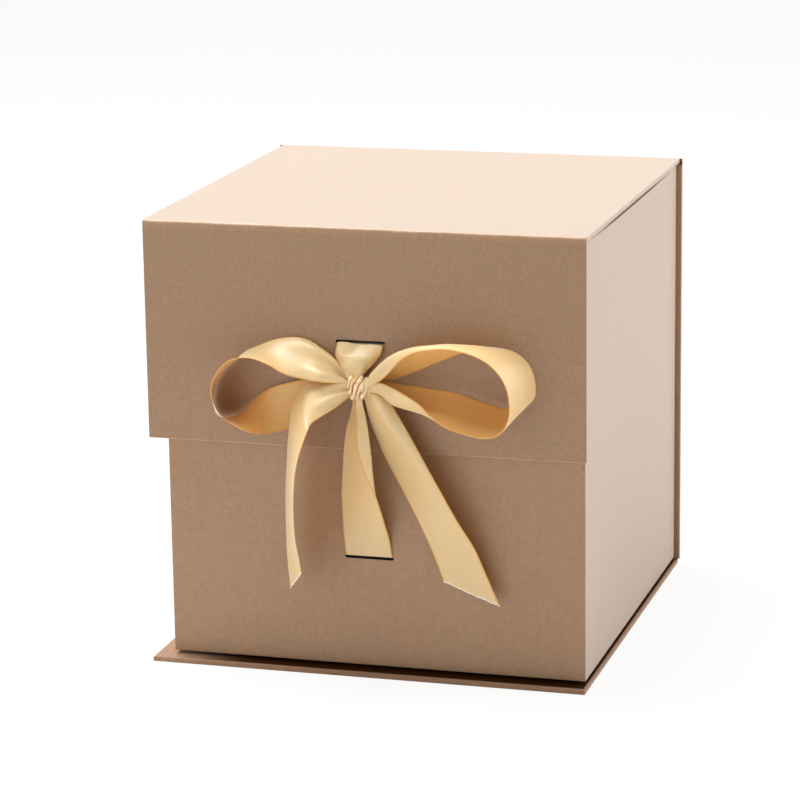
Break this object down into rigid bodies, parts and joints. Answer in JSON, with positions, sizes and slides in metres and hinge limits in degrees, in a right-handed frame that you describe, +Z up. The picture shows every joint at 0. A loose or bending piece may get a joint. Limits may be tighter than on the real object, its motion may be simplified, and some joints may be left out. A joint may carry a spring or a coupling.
{
  "type": "cardboard gift box",
  "caption": "Rigid cardboard gift box with a hinged lid, a half-height front flap that hangs from it, and a satin ribbon tied in a bow over the flap.",
  "frame": {"origin": "on the underside of the base, midway between the case's sides and midway between the flap's face and the back's face", "axes": "+X to the right as seen from the front, +Y to the back, +Z up; the flap and the bow face -Y"},
  "size_m": [0.2278, 0.2612, 0.228],
  "materials": {
    "kraft paper": "matt, uncoated",
    "kraft lining": "matt, uncoated",
    "greyboard": "matt, cut edges",
    "foam tape": "matt",
    "satin ribbon": "satin weave"
  },
  "bodies": {
    "box": {"base_board": "greyboard", "base_wrap": "kraft paper", "base_hinge_strip": "kraft paper", "back_board": "greyboard", "back_wrap": "kraft paper", "rear_hinge_strip": "kraft paper", "front_wall": "greyboard", "rear_wall": "greyboard", "left_wall": "greyboard", "right_wall": "greyboard", "tray_floor": "greyboard", "tray_wrap": "kraft paper", "tray_lining": "kraft lining", "floor_lining": "kraft lining", "floor_tape_front": "foam tape", "floor_tape_rear": "foam tape", "floor_tape_left": "foam tape", "floor_tape_right": "foam tape", "back_tape_left": "foam tape", "back_tape_right": "foam tape", "wall_ribbon_end": "satin ribbon"},
    "lid": {"lid_board": "greyboard", "lid_wrap": "kraft paper", "lid_liner": "kraft lining", "front_hinge_strip": "kraft paper"},
    "flap": {"flap_board": "greyboard", "flap_wrap": "kraft paper", "flap_liner": "kraft lining", "flap_ribbon_end": "satin ribbon", "upper_strand": "satin ribbon", "lower_strand": "satin ribbon", "bow_knot": "satin ribbon", "bow_loop_left": "satin ribbon", "bow_loop_right": "satin ribbon", "bow_tail_left": "satin ribbon", "bow_tail_right": "satin ribbon"}
  },
  "joints": [
    {"name": "lid_hinge", "type": "hinge", "parent": "box", "child": "lid", "pos_m": [0, 0.11318, 0.22768], "axis": [-1, 0, 0], "range_deg": [0, 180], "deforming": ["rear_hinge_strip"]},
    {"name": "flap_hinge", "type": "hinge", "parent": "lid", "child": "flap", "pos_m": [0, -0.11318, 0.22768], "axis": [-1, 0, 0], "range_deg": [0, 180], "deforming": ["front_hinge_strip"]}
  ]
}
